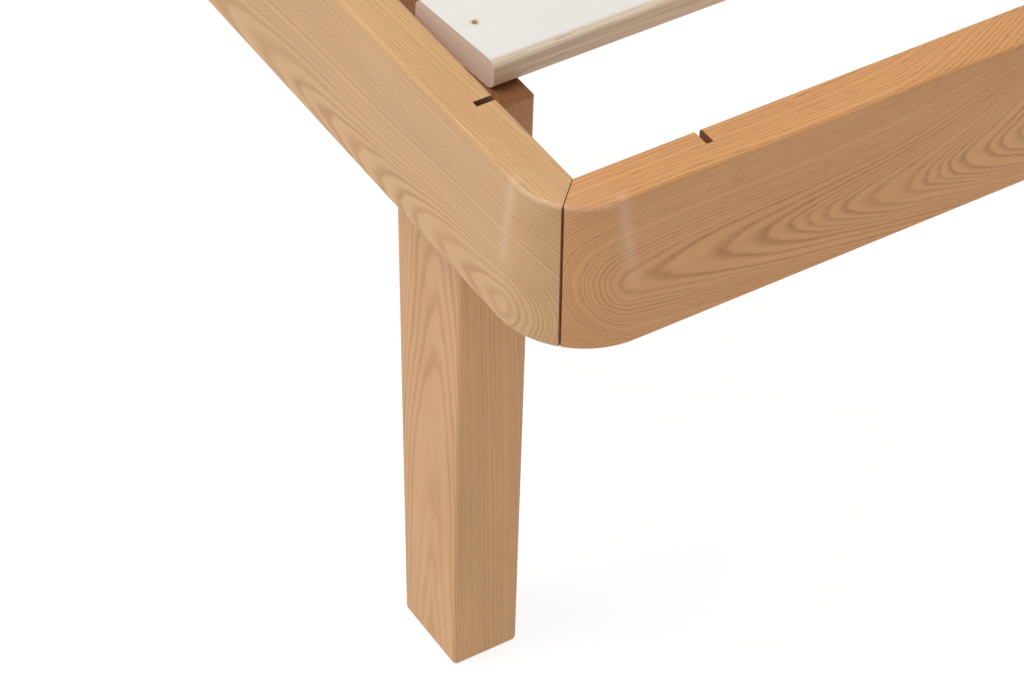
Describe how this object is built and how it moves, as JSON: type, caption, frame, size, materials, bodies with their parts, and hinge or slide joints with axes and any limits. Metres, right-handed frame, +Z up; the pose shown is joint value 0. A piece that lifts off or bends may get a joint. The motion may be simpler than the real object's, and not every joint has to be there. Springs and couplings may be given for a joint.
{
  "type": "bed frame",
  "caption": "Platform bed frame of oiled wood with mitred, rounded corners, inset tapered legs, white plywood slats and a centre beam on adjustable legs.",
  "frame": {"origin": "on the floor under the middle of the frame", "axes": "+Z up, +Y along the bed from its foot to its head, +X across it"},
  "size_m": [1.44, 2.04, 0.42],
  "materials": {
    "oiled_ash": "satin oil, honey coloured",
    "painted_ply": "matt white paint, bare plies at the edges",
    "plain_pine": "planed, unfinished",
    "zinc_steel": "zinc plated",
    "black_steel": "blackened",
    "black_plastic": "moulded, matt"
  },
  "bodies": {
    "frame": {"beam_hanger_foot": "zinc_steel", "beam_hanger_head": "zinc_steel", "bracket_screw_foot_left_end": "zinc_steel", "bracket_screw_foot_left_side": "zinc_steel", "bracket_screw_foot_right_end": "zinc_steel", "bracket_screw_foot_right_side": "zinc_steel", "bracket_screw_head_left_end": "zinc_steel", "bracket_screw_head_left_side": "zinc_steel", "bracket_screw_head_right_end": "zinc_steel", "bracket_screw_head_right_side": "zinc_steel", "centre_beam": "plain_pine", "centre_leg_bolt_foot": "black_steel", "centre_leg_bolt_head": "black_steel", "centre_leg_foot": "oiled_ash", "centre_leg_head": "oiled_ash", "corner_bracket_foot_left": "zinc_steel", "corner_bracket_foot_right": "zinc_steel", "corner_bracket_head_left": "zinc_steel", "corner_bracket_head_right": "zinc_steel", "foot_rail": "oiled_ash", "hanger_screw_foot_left": "zinc_steel", "hanger_screw_foot_right": "zinc_steel", "hanger_screw_head_left": "zinc_steel", "hanger_screw_head_right": "zinc_steel", "head_rail": "oiled_ash", "ledger_left": "oiled_ash", "ledger_right": "oiled_ash", "leg_bolt_foot_left_lower": "black_steel", "leg_bolt_foot_left_upper": "black_steel", "leg_bolt_foot_right_lower": "black_steel", "leg_bolt_foot_right_upper": "black_steel", "leg_bolt_head_left_lower": "black_steel", "leg_bolt_head_left_upper": "black_steel", "leg_bolt_head_right_lower": "black_steel", "leg_bolt_head_right_upper": "black_steel", "leg_foot_left": "oiled_ash", "leg_foot_right": "oiled_ash", "leg_head_left": "oiled_ash", "leg_head_right": "oiled_ash", "side_rail_left": "oiled_ash", "side_rail_right": "oiled_ash", "slat_01": "painted_ply", "slat_02": "painted_ply", "slat_03": "painted_ply", "slat_04": "painted_ply", "slat_05": "painted_ply", "slat_06": "painted_ply", "slat_07": "painted_ply", "slat_08": "painted_ply", "slat_09": "painted_ply", "slat_10": "painted_ply", "slat_11": "painted_ply", "slat_12": "painted_ply", "slat_13": "painted_ply", "slat_14": "painted_ply"},
    "leveller_foot": {"leveller_foot": "black_plastic"},
    "leveller_head": {"leveller_head": "black_plastic"}
  },
  "joints": [
    {"name": "leveller_foot_travel", "type": "slide", "parent": "frame", "child": "leveller_foot", "axis": [0, 0, -1], "range_m": [0, 0.01]},
    {"name": "leveller_head_travel", "type": "slide", "parent": "frame", "child": "leveller_head", "axis": [0, 0, -1], "range_m": [0, 0.01]}
  ]
}
